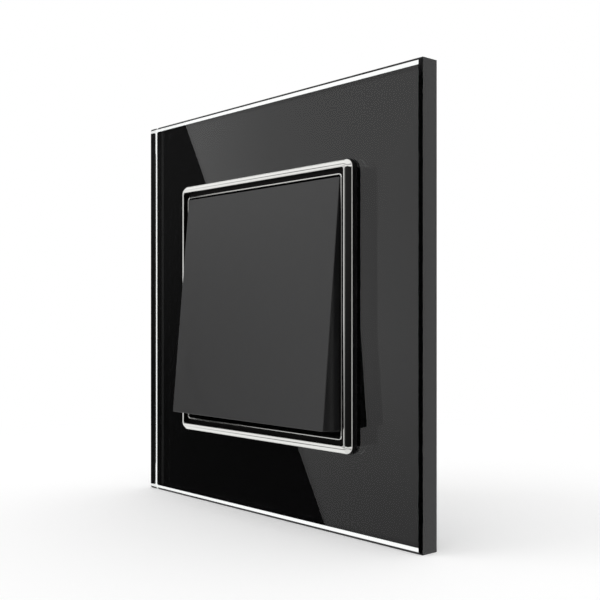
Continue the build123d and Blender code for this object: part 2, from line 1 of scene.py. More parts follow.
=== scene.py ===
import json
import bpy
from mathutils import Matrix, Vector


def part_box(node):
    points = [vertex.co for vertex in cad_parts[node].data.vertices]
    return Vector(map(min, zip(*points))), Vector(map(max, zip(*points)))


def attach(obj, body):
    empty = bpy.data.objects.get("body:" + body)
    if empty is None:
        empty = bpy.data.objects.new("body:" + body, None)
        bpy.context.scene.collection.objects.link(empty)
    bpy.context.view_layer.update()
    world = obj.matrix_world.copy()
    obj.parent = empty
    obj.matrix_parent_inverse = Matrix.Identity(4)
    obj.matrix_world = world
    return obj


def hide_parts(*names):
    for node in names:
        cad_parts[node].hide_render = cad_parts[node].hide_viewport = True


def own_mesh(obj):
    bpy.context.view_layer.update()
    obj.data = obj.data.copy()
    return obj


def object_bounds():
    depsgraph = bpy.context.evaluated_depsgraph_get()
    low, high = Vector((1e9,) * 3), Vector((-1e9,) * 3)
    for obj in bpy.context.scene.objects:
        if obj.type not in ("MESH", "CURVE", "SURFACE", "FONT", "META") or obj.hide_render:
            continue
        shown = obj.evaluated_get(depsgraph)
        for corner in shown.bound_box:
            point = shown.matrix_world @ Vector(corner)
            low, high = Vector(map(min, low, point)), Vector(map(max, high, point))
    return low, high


bl_info = {
    "name": "Rocker light switch with a black glass panel",
    "version": (1, 0, 0),
    "blender": (4, 5, 0),
    "location": "3D View > Sidebar > Switch",
    "description": "Dresses the packed parts of a two-way rocker light switch with their finished surfaces",
    "category": "Object",
}

from math import cos, pi, radians, sin

import bmesh
import bpy
from bpy.props import FloatProperty, FloatVectorProperty, IntProperty, PointerProperty
from bpy.types import Operator, Panel, PropertyGroup
from mathutils import Matrix, Vector

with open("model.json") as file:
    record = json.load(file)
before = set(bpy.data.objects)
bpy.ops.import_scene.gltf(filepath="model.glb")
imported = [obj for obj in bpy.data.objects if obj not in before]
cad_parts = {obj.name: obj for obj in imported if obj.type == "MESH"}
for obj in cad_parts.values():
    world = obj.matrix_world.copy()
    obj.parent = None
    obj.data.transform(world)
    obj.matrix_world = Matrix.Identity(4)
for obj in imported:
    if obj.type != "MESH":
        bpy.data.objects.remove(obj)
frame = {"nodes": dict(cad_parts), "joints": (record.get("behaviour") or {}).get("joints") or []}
cad_low, cad_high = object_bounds()

MM = 0.001


def colour(code):
    """Turn an sRGB hex value into the linear colour that a shader takes."""
    parts = [int(code[i : i + 2], 16) / 255 for i in (1, 3, 5)]
    return [c / 12.92 if c <= 0.04045 else ((c + 0.055) / 1.055) ** 2.4 for c in parts] + [1.0]


def add(tree, kind, settings=None, sockets=None):
    """Add a node with its settings. Each socket takes a value, or a link from a socket or another node."""
    node = tree.nodes.new(kind)
    for name, value in (settings or {}).items():
        setattr(node, name, value)
    for name, value in (sockets or {}).items():
        if isinstance(value, bpy.types.Node):
            value = value.outputs[0]
        if isinstance(value, bpy.types.NodeSocket):
            tree.links.new(value, node.inputs[name])
        else:
            node.inputs[name].default_value = value
    return node


# ---- Sizes and colours that a user would change


def length_setting(name, description, default):
    """A setting for a size, with its default in millimetres."""
    return FloatProperty(name=name, description=description, default=default * MM, unit="LENGTH")


def colour_setting(name, description, default):
    """A setting for a colour, with its default in sRGB."""
    return FloatVectorProperty(
        name=name, description=description, subtype="COLOR", size=4, min=0, max=1, default=colour(default)
    )


class PanelSettings(PropertyGroup):
    glass_tint: colour_setting("Glass tint", "Tint of the clear float glass", "#F9FBFA")
    film_colour: colour_setting("Film colour", "Colour of the backing film seen through the glass", "#070708")
    film_bite: length_setting("Film bond", "How far the film reaches into the glass, to leave no air", 0.02)


class RingSettings(PropertyGroup):
    chrome: colour_setting("Chrome", "Colour of the chrome plating", "#D8D8D5")
    width: length_setting("Ring width", "From the outer edge to the rocker's window", 2.55)
    edge_height: length_setting("Edge height", "Upright outer edge of the ring", 0.2)
    edge_draft: length_setting("Edge draft", "How far the top of the outer edge leans in", 0.05)
    crest_inset: length_setting("Crest inset", "From the outer edge to the crest", 0.7)
    crest_width: length_setting("Crest width", "From the crest's outer edge to the cove", 0.65)
    crest_lean: FloatProperty(
        name="Crest lean", description="How far the crest leans outwards at the cove", subtype="ANGLE",
        default=radians(8),
    )
    crest_roll: FloatProperty(
        name="Crest roll", description="How far the crest leans outwards at its outer edge",
        subtype="ANGLE", default=radians(22),
    )
    cove_height: length_setting("Cove floor", "Floor of the cove above the bezel", 0.14)
    lip_height: length_setting("Lip height", "Inner lip above the bezel", 0.52)
    lip_width: length_setting("Lip width", "Thickness of the inner lip", 0.3)
    edge_round: length_setting("Edge rounding", "Rounding that the plating leaves on each edge", 0.05)
    outer_corner: length_setting("Outer corner", "Corner radius outside", 1.5)
    inner_corner: length_setting("Inner corner", "Corner radius of the rocker's window", 0.5)


class RockerSettings(PropertyGroup):
    face: colour_setting("Rocker colour", "Colour of the moulded rocker", "#161617")
    roughness: FloatProperty(
        name="Rocker roughness", description="Roughness of the satin face", default=0.36, min=0, max=1
    )
    coil_turns: FloatProperty(
        name="Working coils", description="Open coils of the plunger's spring", default=4.0, min=1
    )
    closed_turns: FloatProperty(
        name="Closed coils", description="Coils that lie together at the ends", default=2.0, min=0
    )
    wire_radius: length_setting("Spring wire radius", "Radius of the spring's wire", 0.2)


class FastenerSettings(PropertyGroup):
    thread_pitch: length_setting("Thread pitch", "Pitch of the terminal screws", 0.5)
    thread_depth: length_setting("Thread depth", "Depth of the terminal screws' thread", 0.27)
    recess_depth: length_setting("Recess depth", "Depth of the cross recess in the cover screws", 0.9)
    turn_seed: IntProperty(
        name="Turn seed", description="Seed for how far each rivet and cover screw happens to be turned",
        default=4,
    )
    sheet_round: length_setting("Sheet edge", "Rounding of the stamped sheet edges", 0.1)
    mould_round: length_setting("Moulded edge", "Rounding of the moulded edges", 0.14)


class StageSettings(PropertyGroup):
    camera_azimuth: FloatProperty(
        name="Camera azimuth", description="Direction the camera looks in, from straight on",
        subtype="ANGLE", default=radians(48.57),
    )
    lens: FloatProperty(name="Lens", description="Focal length in millimetres", default=56.54, min=1)
    floor_depth: length_setting("Floor", "Height of the floor", -40.0)
    soft_level: FloatProperty(
        name="Soft light", description="Level of the even light on dull surfaces", default=0.78, min=0
    )
    lamp_power: FloatProperty(
        name="Window light", description="Power of the large lamp, front left, in watts", default=2.4, min=0
    )
    ground_glow: FloatProperty(
        name="Ground glow", description="What the ground adds to the light that falls on it",
        default=0.24, min=0,
    )
    card_level: FloatProperty(
        name="Card level", description="Brightness of the card that the glass mirrors", default=0.95, min=0
    )


# ---- Making meshes


def new_object(name, data):
    """A new object at the origin, in the scene."""
    made = bpy.data.objects.new(name, data)
    bpy.context.scene.collection.objects.link(made)
    return made


def keep(name, mesh, materials, body, node):
    """Finish a piece: its materials, its body, and the CAD node that it stands for."""
    if not mesh.polygons:
        raise RuntimeError(f"{name} came out empty")
    made = new_object(name, mesh)
    mesh.name = name
    if mesh.materials:
        mesh.materials.clear()
    for material in materials:
        mesh.materials.append(material)
    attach(made, body)
    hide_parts(node)
    return made


def flat_mesh(work, name):
    """Turn work into a mesh as it is."""
    mesh = bpy.data.meshes.new(name)
    work.to_mesh(mesh)
    work.free()
    return mesh


def as_mesh(work, name, sharp=35):
    """Turn work into a mesh with outward faces, smooth but for edges sharper than this angle."""
    bmesh.ops.recalc_face_normals(work, faces=work.faces)
    mesh = flat_mesh(work, name)
    mesh.shade_smooth()
    mesh.set_sharp_from_angle(angle=radians(sharp))
    return mesh


def settled(made):
    """The mesh of an object with its modifiers worked in. The object itself goes."""
    graph = bpy.context.evaluated_depsgraph_get()
    mesh = bpy.data.meshes.new_from_object(
        made.evaluated_get(graph), preserve_all_data_layers=True, depsgraph=graph
    )
    made.modifiers.clear()
    bpy.data.objects.remove(made)
    return mesh


def circle(work, radius, place, steps):
    """Points round a circle, each put where place says for its two coordinates."""
    turns = [2 * pi * k / steps for k in range(steps)]
    return [work.verts.new(place(radius * cos(turn), radius * sin(turn))) for turn in turns]


def lathe(profile, steps=32):
    """A closed round body about the Y axis, from (radius, depth) pairs that start and end on the axis."""
    work = bmesh.new()
    rings = []
    for radius, depth in profile:
        if radius > 0:
            rings.append(circle(work, radius, lambda x, z: (x, depth, z), steps))
        else:
            rings.append([work.verts.new((0, depth, 0))])
    for near, far in zip(rings, rings[1:]):
        for k in range(steps):
            corners = [(near, k), (near, k + 1), (far, k + 1), (far, k)]
            work.faces.new(list(dict.fromkeys(ring[at % len(ring)] for ring, at in corners)))
    return work


def square_loop(work, half, corner, depth, steps=8):
    """One turn of points round a square with rounded corners, at a depth along Y."""
    points = []
    for quarter in range(4):
        turn = quarter * pi / 2
        middle_x = cos(turn + pi / 4) * 2**0.5 * (half - corner)
        middle_z = sin(turn + pi / 4) * 2**0.5 * (half - corner)
        for k in range(steps + 1):
            angle = turn + k * pi / 2 / steps
            x, z = middle_x + corner * cos(angle), middle_z + corner * sin(angle)
            points.append(work.verts.new((x, depth, z)))
    return points


def skin(work, loops, closed=True):
    """Faces between neighbouring loops, and from the last back to the first."""
    pairs = list(zip(loops, loops[1:])) + ([(loops[-1], loops[0])] if closed else [])
    for near, far in pairs:
        for k in range(len(near)):
            after = (k + 1) % len(near)
            work.faces.new([near[k], near[after], far[after], far[k]])


def block(low, high, floor=1.0):
    """A box between two corners, for cutting. Its floor, at the low end of Y, may be narrower."""
    work = bmesh.new()
    made = bmesh.ops.create_cube(work, size=1)
    bmesh.ops.scale(work, vec=Vector(high) - Vector(low), verts=made["verts"])
    middle = (Vector(high) + Vector(low)) / 2
    bmesh.ops.translate(work, vec=middle, verts=made["verts"])
    for vertex in made["verts"]:
        if vertex.co.y < middle.y:
            vertex.co.x *= floor
            vertex.co.z *= floor
    return as_mesh(work, "recess")


def cut(mesh, cutter, name):
    """Take the cutter's mesh out of a mesh."""
    body, tool = new_object(name, mesh), new_object(name + "_tool", cutter)
    change = body.modifiers.new("recess", "BOOLEAN")
    change.operation, change.solver, change.object = "DIFFERENCE", "EXACT", tool
    result = settled(body)
    bpy.data.objects.remove(tool)
    return result


def eased(node, width, name, material, body, sharp=32, segments=2):
    """A copy of a CAD node with its sharp edges rounded, which takes the node's place."""
    weld, flat = 0.002 * MM, radians(0.6)
    work = bmesh.new()
    work.from_mesh(frame["nodes"][node].data)
    bmesh.ops.remove_doubles(work, verts=work.verts, dist=weld)
    bmesh.ops.dissolve_limit(work, angle_limit=flat, verts=work.verts, edges=work.edges)
    made = new_object(name, as_mesh(work, name, sharp))
    change = made.modifiers.new("edge", "BEVEL")
    change.width, change.segments = width, segments
    change.limit_method, change.angle_limit = "ANGLE", radians(sharp)
    change.harden_normals = True
    return keep(name, settled(made), [material], body, node)


def dress(node, material):
    """Give a CAD node that stays its finished material."""
    for place in frame["nodes"][node].material_slots:
        place.material = material


# ---- Geometry Nodes for what repeats or follows a path


def new_tree(name, inputs):
    """An empty node tree for geometry with these named inputs, and its way in."""
    tree = bpy.data.node_groups.new(name, "GeometryNodeTree")
    for label, kind in inputs:
        tree.interface.new_socket(name=label, in_out="INPUT", socket_type=kind)
    tree.interface.new_socket(name="Geometry", in_out="OUTPUT", socket_type="NodeSocketGeometry")
    return tree, add(tree, "NodeGroupInput").outputs


def end_tree(tree, geometry, finish):
    """End a tree with real geometry in one finish."""
    real = add(tree, "GeometryNodeRealizeInstances", sockets={"Geometry": geometry})
    finished = add(tree, "GeometryNodeSetMaterial", sockets={"Geometry": real, "Material": finish})
    add(tree, "NodeGroupOutput", sockets={"Geometry": finished})
    return tree


def grown(tree, name, values):
    """Run a tree with these values for its inputs, and return the plain mesh."""
    made = new_object(name, bpy.data.meshes.new(name))
    change = made.modifiers.new("growth", "NODES")
    change.node_group = tree
    for item in tree.interface.items_tree:
        if item.item_type == "SOCKET" and item.in_out == "INPUT":
            change[item.identifier] = values[item.name]
    return settled(made)


def set_of_four_tree():
    """Fasteners at the corners of a rectangle, each turned by chance. Two are left where it has no width."""
    tree, given = new_tree("Set of fasteners", [
        ("Fastener", "NodeSocketObject"), ("Spacing across", "NodeSocketFloat"),
        ("Spacing up", "NodeSocketFloat"), ("Largest turn", "NodeSocketFloat"), ("Seed", "NodeSocketInt"),
        ("Finish", "NodeSocketMaterial"),
    ])
    corners = add(tree, "GeometryNodeMeshGrid", sockets={
        "Size X": given["Spacing across"], "Size Y": given["Spacing up"], "Vertices X": 2, "Vertices Y": 2,
    })
    upright = add(tree, "GeometryNodeTransform", sockets={"Geometry": corners, "Rotation": (pi / 2, 0, 0)})
    single = add(tree, "GeometryNodeMergeByDistance", sockets={"Geometry": upright, "Distance": 0.01 * MM})
    chance = add(tree, "FunctionNodeRandomValue", {"data_type": "FLOAT"}, {
        2: 0.0, 3: given["Largest turn"], "Seed": given["Seed"],
    })
    euler = add(tree, "ShaderNodeCombineXYZ", sockets={"Y": chance.outputs[1]})
    pattern = add(tree, "GeometryNodeObjectInfo", sockets={"Object": given["Fastener"], "As Instance": True})
    placed = add(tree, "GeometryNodeInstanceOnPoints", sockets={
        "Points": single, "Instance": pattern.outputs["Geometry"],
        "Rotation": add(tree, "FunctionNodeEulerToRotation", sockets={"Euler": euler}),
    })
    return end_tree(tree, placed, given["Finish"])


def spread(name, fastener, across, up, seed, finish, largest_turn=2 * pi):
    """The plain mesh of a fastener's set: its spacing across and up, and how far each may be turned."""
    pattern = new_object(name + "_pattern", fastener)
    mesh = grown(bpy.data.node_groups.get("Set of fasteners") or set_of_four_tree(), name, {
        "Fastener": pattern, "Spacing across": across, "Spacing up": up, "Largest turn": largest_turn,
        "Seed": seed, "Finish": finish,
    })
    bpy.data.objects.remove(pattern)
    return mesh


def spring_tree():
    """A compression spring along Y from depth 0, with its end coils closed."""
    tree, given = new_tree("Compression spring", [
        ("Coil radius", "NodeSocketFloat"), ("Wire radius", "NodeSocketFloat"), ("Length", "NodeSocketFloat"),
        ("Working coils", "NodeSocketFloat"), ("Closed coils", "NodeSocketFloat"), ("Steps", "NodeSocketInt"),
        ("Finish", "NodeSocketMaterial"),
    ])
    # Closed coils lie this many wire radii apart
    touching = 2.02
    values = {name: given[name] for name in given.keys() if name}
    values["along"] = add(tree, "GeometryNodeSplineParameter")
    # Each sum has a name, what it does, and the two values that it takes
    for name, operation, first, second in (
        ("coils", "ADD", "Working coils", "Closed coils"),
        ("turns", "MULTIPLY", "along", "coils"),
        ("angle", "MULTIPLY", "turns", 2 * pi),
        ("closed at one end", "MULTIPLY", "Closed coils", 0.5),
        ("first open", "DIVIDE", "closed at one end", "coils"),
        ("last open", "SUBTRACT", 1.0, "first open"),
        ("wire", "MULTIPLY", "Wire radius", touching),
        ("stacked", "MULTIPLY", "wire", "coils"),
        ("between the ends", "SUBTRACT", "Length", "wire"),
        ("free", "SUBTRACT", "between the ends", "stacked"),
        ("so far", "SUBTRACT", "along", "first open"),
        ("open part", "SUBTRACT", "last open", "first open"),
        ("share", "DIVIDE", "so far", "open part"),
        ("from the start", "MAXIMUM", "share", 0.0),
        ("stretch", "MINIMUM", "from the start", 1.0),
        ("rise in the stack", "MULTIPLY", "along", "stacked"),
        ("rise in the open", "MULTIPLY", "stretch", "free"),
        ("rise", "ADD", "rise in the stack", "rise in the open"),
        ("depth", "ADD", "rise", "Wire radius"),
        ("cosine", "COSINE", "angle", 0.0),
        ("sine", "SINE", "angle", 0.0),
        ("X", "MULTIPLY", "cosine", "Coil radius"),
        ("Z", "MULTIPLY", "sine", "Coil radius"),
    ):
        values[name] = add(tree, "ShaderNodeMath", {"operation": operation}, {
            0: values.get(first, first), 1: values.get(second, second),
        })
    line = add(tree, "GeometryNodeCurvePrimitiveLine")
    steps = add(tree, "GeometryNodeResampleCurve", sockets={"Curve": line, "Count": given["Steps"]})
    place = add(tree, "ShaderNodeCombineXYZ", sockets={
        "X": values["X"], "Y": values["depth"], "Z": values["Z"],
    })
    coiled = add(tree, "GeometryNodeSetPosition", sockets={"Geometry": steps, "Position": place})
    section = add(tree, "GeometryNodeCurvePrimitiveCircle", sockets={
        "Resolution": 12, "Radius": given["Wire radius"],
    })
    drawn = add(tree, "GeometryNodeCurveToMesh", sockets={
        "Curve": coiled, "Profile Curve": section, "Fill Caps": True,
    })
    return end_tree(tree, drawn, given["Finish"])


# ---- Materials


def new_material(name):
    """An empty material, its tree, and the place on the piece in metres."""
    material = bpy.data.materials.new(name)
    material.use_nodes = True
    material.node_tree.nodes.clear()
    place = add(material.node_tree, "ShaderNodeTexCoord").outputs["Object"]
    return material, material.node_tree, place


def end_material(material, kind, sockets):
    """End a material with its one surface."""
    surface = add(material.node_tree, kind, sockets=sockets)
    add(material.node_tree, "ShaderNodeOutputMaterial", sockets={"Surface": surface})
    return material


def blotches(tree, place, size, detail=2.0, stretch=(1, 1, 1)):
    """A pattern whose blotches are about this size in metres, drawn out along the axes."""
    drawn = add(tree, "ShaderNodeMapping", sockets={"Vector": place, "Scale": [1 / s for s in stretch]})
    return add(tree, "ShaderNodeTexNoise", sockets={"Vector": drawn, "Scale": 1 / size, "Detail": detail})


def varied(material, clouds, tones, marks, roughness, relief=None, limits=(0.3, 0.7), plain=None):
    """End a material, with a pattern for its clouds of tone, the marks in its gloss, and its relief."""
    tree = material.node_tree
    mixed = add(tree, "ShaderNodeMix", {"data_type": "RGBA"}, {0: clouds, 6: tones[0], 7: tones[1]})
    dull = add(tree, "ShaderNodeMapRange", sockets={
        "Value": marks, "From Min": limits[0], "From Max": limits[1],
        "To Min": roughness[0], "To Max": roughness[1],
    })
    sockets = {"Base Color": mixed.outputs[2], "Roughness": dull, **(plain or {})}
    if relief:
        pits, height = relief
        sockets["Normal"] = add(tree, "ShaderNodeBump", sockets={
            "Strength": 1.0, "Distance": height, "Height": pits,
        })
    return end_material(material, "ShaderNodeBsdfPrincipled", sockets)


def dimmed(tone, share):
    """The same colour with its light scaled."""
    return [c * share for c in tone[:3]] + [1.0]


def moulded(name, tone, roughness, grain=0.3 * MM, height=0.002 * MM, drift=0.12, level=0.5):
    """Injection-moulded plastic: faint flow marks in the colour, and the fine grain of the eroded tool."""
    material, tree, place = new_material(name)
    flow = blotches(tree, place, 9 * MM, 3.0, (1, 1, 1.8))
    worn = blotches(tree, place, 2.5 * MM)
    pits = blotches(tree, place, grain, 3.0)
    return varied(
        material, flow, (dimmed(tone, 1 - drift), dimmed(tone, 1 + drift)), worn,
        (roughness - 0.03, roughness + 0.03), (pits, height), plain={"Specular IOR Level": level},
    )


def metal(name, tone, dull, roughness, lines=(1, 1, 1), grain=0.25 * MM, height=0.001 * MM):
    """Bare or plated metal: its tone clouds towards a duller one, and working it leaves fine lines."""
    material, tree, place = new_material(name)
    streaks = blotches(tree, place, grain, 3.0, lines)
    clouds = add(tree, "ShaderNodeMapRange", sockets={
        "Value": blotches(tree, place, 6 * MM, 4.0), "From Min": 0.42, "From Max": 0.72, "To Max": 0.7,
    })
    return varied(
        material, clouds, (tone, dull), streaks, (roughness - 0.06, roughness + 0.08), (streaks, height),
        plain={"Metallic": 1.0},
    )


def polished_float_glass(tint):
    """Polished float glass: water clear on its faces, with a trace of the grinding wheel on its edges."""
    material, tree, place = new_material("Polished float glass")
    axes = add(tree, "ShaderNodeSeparateXYZ", sockets={0: place}).outputs
    across, up = (add(tree, "ShaderNodeMath", {"operation": "ABSOLUTE"}, {0: axes[name]}) for name in "XZ")
    rim = add(tree, "ShaderNodeMath", {"operation": "MAXIMUM"}, {0: across, 1: up})
    edge = add(tree, "ShaderNodeMapRange", sockets={
        "Value": rim, "From Min": cad_high.x - 0.02 * MM, "From Max": cad_high.x - 0.005 * MM,
    })
    # The wheel's lines are about 0.05 mm apart on the real edge, and are drawn 0.25 mm apart to show
    wheel = add(tree, "ShaderNodeMapRange", sockets={
        "Value": blotches(tree, place, 0.25 * MM, 2.0, (30, 1, 30)), "From Min": 0.3, "From Max": 0.7,
        "To Max": 0.05,
    })
    ground = add(tree, "ShaderNodeMath", {"operation": "MULTIPLY"}, {0: edge, 1: wheel})
    return end_material(material, "ShaderNodeBsdfPrincipled", {
        "Base Color": tint, "Roughness": ground, "Transmission Weight": 1.0, "IOR": 1.5,
    })


def gloss_film(tone):
    """Black film bonded to the glass: it gives the panel its depth, and a second, much fainter reflection."""
    material, tree, place = new_material("Bonded gloss black film")
    return varied(
        material, blotches(tree, place, 14 * MM, 3.0), (dimmed(tone, 0.8), dimmed(tone, 1.2)),
        blotches(tree, place, 5 * MM), (0.0, 0.02), plain={"Specular IOR Level": 0.17},
    )


def chrome_plate(tone):
    """Bright chrome on moulded plastic: a mirror with the slightest waviness of the moulding under it."""
    material, tree, place = new_material("Bright chrome plate")
    return varied(
        material, blotches(tree, place, 4 * MM, 3.0), (dimmed(tone, 0.97), tone),
        blotches(tree, place, 1.5 * MM), (0.03, 0.06), (blotches(tree, place, 1.2 * MM), 0.0006 * MM),
        plain={"Metallic": 1.0},
    )


def foam_tape():
    """Double-sided foam tape: dull, with closed cells at its cut edge."""
    material, tree, place = new_material("Black acrylic foam tape")
    cells = add(tree, "ShaderNodeTexVoronoi", sockets={"Vector": place, "Scale": 1 / (0.3 * MM)})
    return varied(
        material, cells, (colour("#1A1A1B"), colour("#343435")), cells, (0.85, 0.98), (cells, 0.03 * MM),
        (0.0, 0.8),
    )


# ---- Pieces, one operator for each or for a group of like ones


class SWITCH_OT_glass_panel(Operator):
    """Clear glass panel with its bonded black film, and the tape behind"""

    bl_idname = "switch.glass_panel"
    bl_label = "Glass panel and film"

    def execute(self, context):
        panel = context.scene.switch_panel
        dress("glass_panel", polished_float_glass(panel.glass_tint[:]))
        dress("bonding_tape", foam_tape())
        low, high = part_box("backing_film")
        outer_corner, window_corner, window_gap = 0.4 * MM, 1.7 * MM, 0.25 * MM
        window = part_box("insert_bezel")[1].x + window_gap
        front, back = low.y - panel.film_bite, high.y
        work = bmesh.new()
        outer = [square_loop(work, high.x, outer_corner, y) for y in (front, back)]
        inner = [square_loop(work, window, window_corner, y) for y in (back, front)]
        skin(work, outer + inner)
        mesh = as_mesh(work, "gloss_black_film")
        keep("gloss_black_film", mesh, [gloss_film(panel.film_colour[:])], "switch", "backing_film")
        return {"FINISHED"}


class SWITCH_OT_chrome_ring(Operator):
    """Chrome ring round the rocker, with its pegs"""

    bl_idname = "switch.chrome_ring"
    bl_label = "Chrome ring"

    def execute(self, context):
        ring = context.scene.switch_ring
        low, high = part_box("chrome_ring")
        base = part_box("insert_bezel")[0].y
        section, cove = self.section(ring, high.x, base - low.y)
        work = bmesh.new()
        loops = [square_loop(work, half, corner, base - height, 10) for half, height, corner in section]
        skin(work, loops)
        work.faces.ensure_lookup_table()
        around = len(loops[0])
        # The cove's faces take the second finish, a dark plastic painted in as shade
        for face in work.faces[cove.start * around : cove.stop * around]:
            face.material_index = 1
        self.pegs(work, high.x, base)
        made = new_object("chrome_trim_ring", as_mesh(work, "chrome_trim_ring", 50))
        change = made.modifiers.new("plating", "WEIGHTED_NORMAL")
        change.keep_sharp = True
        # The cove gets a dull brownish black plastic in place of the chrome: painted shade, standing in for
        # the dark reflection that the chrome cove shows
        finishes = [
            chrome_plate(ring.chrome[:]),
            moulded("Cove painted dark for shade", colour("#0B0807"), 0.3, 0.5 * MM, 0.0006 * MM, 0.05, 0.06),
        ]
        keep("chrome_trim_ring", settled(made), finishes, "switch", "chrome_ring")
        return {"FINISHED"}

    def section(self, ring, outer, crest):
        """Half size, height above the bezel and corner radius of each loop, and the loops of the cove."""
        ease = ring.edge_round
        lip_inner = outer - ring.width
        lip_outer = lip_inner + ring.lip_width
        lip_corner = ring.inner_corner + ring.lip_width
        edge_top = outer - ring.edge_draft
        crest_outer = outer - ring.crest_inset
        crest_inner = crest_outer - ring.crest_width
        crest_corner = ring.outer_corner - ring.crest_inset
        # The crest is a shallow arc, highest at the cove
        radius = ring.crest_width / (sin(ring.crest_roll) - sin(ring.crest_lean))
        shoulder = crest - radius * (cos(ring.crest_lean) - cos(ring.crest_roll))
        rise = Vector((crest_outer - edge_top, shoulder - ring.edge_height)).normalized()
        # The outer edge and the slope. Each edge is rounded by points at shares of the edge rounding
        section = [
            (outer, 0.0, ring.outer_corner),
            (outer, ring.edge_height / 2, ring.outer_corner),
            (edge_top, ring.edge_height, ring.outer_corner),
            (edge_top + rise.x * 0.5 * ease, ring.edge_height + rise.y * 0.4 * ease, ring.outer_corner),
            (edge_top + rise.x * 2 * ease, ring.edge_height + rise.y * 2 * ease, ring.outer_corner),
            (crest_outer - rise.x * 2.4 * ease, shoulder - rise.y * 2.4 * ease, crest_corner),
        ]
        steps = 5
        for k in range(1, steps + 1):
            turn = ring.crest_roll + (ring.crest_lean - ring.crest_roll) * k / steps
            section.append((
                crest_inner + radius * (sin(turn) - sin(ring.crest_lean)),
                crest - radius * (cos(ring.crest_lean) - cos(turn)),
                crest_corner + (ring.inner_corner - crest_corner) * k / steps,
            ))
        section += [
            (crest_inner - 0.5 * ease, crest - 0.2 * ease, ring.inner_corner),
            (crest_inner - 0.7 * ease, crest - ease, ring.inner_corner),
        ]
        # The cove, from the crest's inner side over its floor to the lip's outer side
        cove_start = len(section) - 1
        section += [
            (crest_inner - 0.7 * ease, ring.cove_height + 2 * ease, ring.inner_corner),
            (crest_inner - 1.3 * ease, ring.cove_height + 0.6 * ease, ring.inner_corner),
            (crest_inner - 2.7 * ease, ring.cove_height, ring.inner_corner),
            (lip_outer + 2 * ease, ring.cove_height, lip_corner),
            (lip_outer + 0.6 * ease, ring.cove_height + 0.6 * ease, lip_corner),
            (lip_outer, ring.cove_height + 2 * ease, lip_corner),
        ]
        cove = range(cove_start, len(section))
        # How far in and how far down from the lip's top, in mm: its outer edge leans back, its inner is round
        for inwards, down in ((0.0, 0.11), (0.01, 0.09), (0.07, 0.01), (0.09, 0.0)):
            section.append((lip_outer - inwards * MM, ring.lip_height - down * MM, lip_corner))
        for outwards, down in ((0.09, 0.0), (0.03, 0.03), (0.0, 0.1)):
            section.append((lip_inner + outwards * MM, ring.lip_height - down * MM, ring.inner_corner))
        section.append((lip_inner, 0.0, ring.inner_corner))
        return section, cove

    def pegs(self, work, outer, base):
        """Add the eight pegs that hold the ring in the bezel, two on each side."""
        radius, length, chamfer = 0.5 * MM, 1.4 * MM, 0.1 * MM
        inset, spacing = 1.35 * MM, 16 * MM
        peg = as_mesh(lathe([
            (0, -chamfer), (radius, -chamfer), (radius, length - chamfer), (radius - chamfer, length),
            (0, length),
        ], 16), "ring_peg")
        line = outer - inset
        signs = [(a, b) for a in (-1, 1) for b in (-1, 1)]
        for x, z in [(a * spacing, b * line) for a, b in signs] + [(a * line, b * spacing) for a, b in signs]:
            moved = peg.copy()
            moved.transform(Matrix.Translation((x, base, z)))
            work.from_mesh(moved)


class SWITCH_OT_rocker(Operator):
    """Rocker cap, cradle, plunger and the coil spring between them"""

    bl_idname = "switch.rocker"
    bl_label = "Rocker and plunger"

    def execute(self, context):
        rocker = context.scene.switch_rocker
        # A finely blasted tool leaves the cap an even satin that blurs what it mirrors
        dress("rocker_cap", moulded(
            "Satin black moulded plastic", rocker.face[:], rocker.roughness, 0.35 * MM, 0.0012 * MM, 0.05,
            0.76,
        ))
        # Nylon without pigment is creamy and a little uneven
        nylon = moulded("Natural nylon", colour("#E7E4DA"), 0.45, 0.4 * MM, 0.003 * MM, 0.04)
        eased("rocker_cradle", context.scene.switch_fasteners.mould_round, "cradle_moulding", nylon, "rocker")
        # Acetal slides well because its skin is hard and smooth, so it shines more
        dress("plunger", moulded("White acetal", colour("#EEEDE8"), 0.28, 0.5 * MM, 0.001 * MM, 0.02))
        # Drawing leaves the wire grey, with fine lines along it
        steel = metal("Patented spring wire", colour("#A3A5A8"), colour("#7E8084"), 0.28, (1, 6, 1))
        joints = {joint["name"]: joint for joint in frame["joints"]}
        pivot = Vector(joints["rocker_hinge"]["pos_m"])
        tilt, seat = radians(5.2), 1.5 * MM
        length, coil_radius = 5.0 * MM, 1.6 * MM
        mesh = grown(spring_tree(), "plunger_coil", {
            "Coil radius": coil_radius, "Wire radius": rocker.wire_radius, "Length": length,
            "Working coils": rocker.coil_turns, "Closed coils": rocker.closed_turns, "Steps": 240,
            "Finish": steel,
        })
        outwards = Vector((0, -cos(tilt), sin(tilt)))
        turn = Matrix.Rotation(-tilt, 4, "X")
        mesh.transform(Matrix.Translation(pivot + outwards * seat) @ turn)
        mesh.shade_smooth()
        coil = keep("plunger_coil", mesh, [steel], "rocker", "plunger_spring")
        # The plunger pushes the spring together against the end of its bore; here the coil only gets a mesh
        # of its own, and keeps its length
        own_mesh(coil)
        return {"FINISHED"}


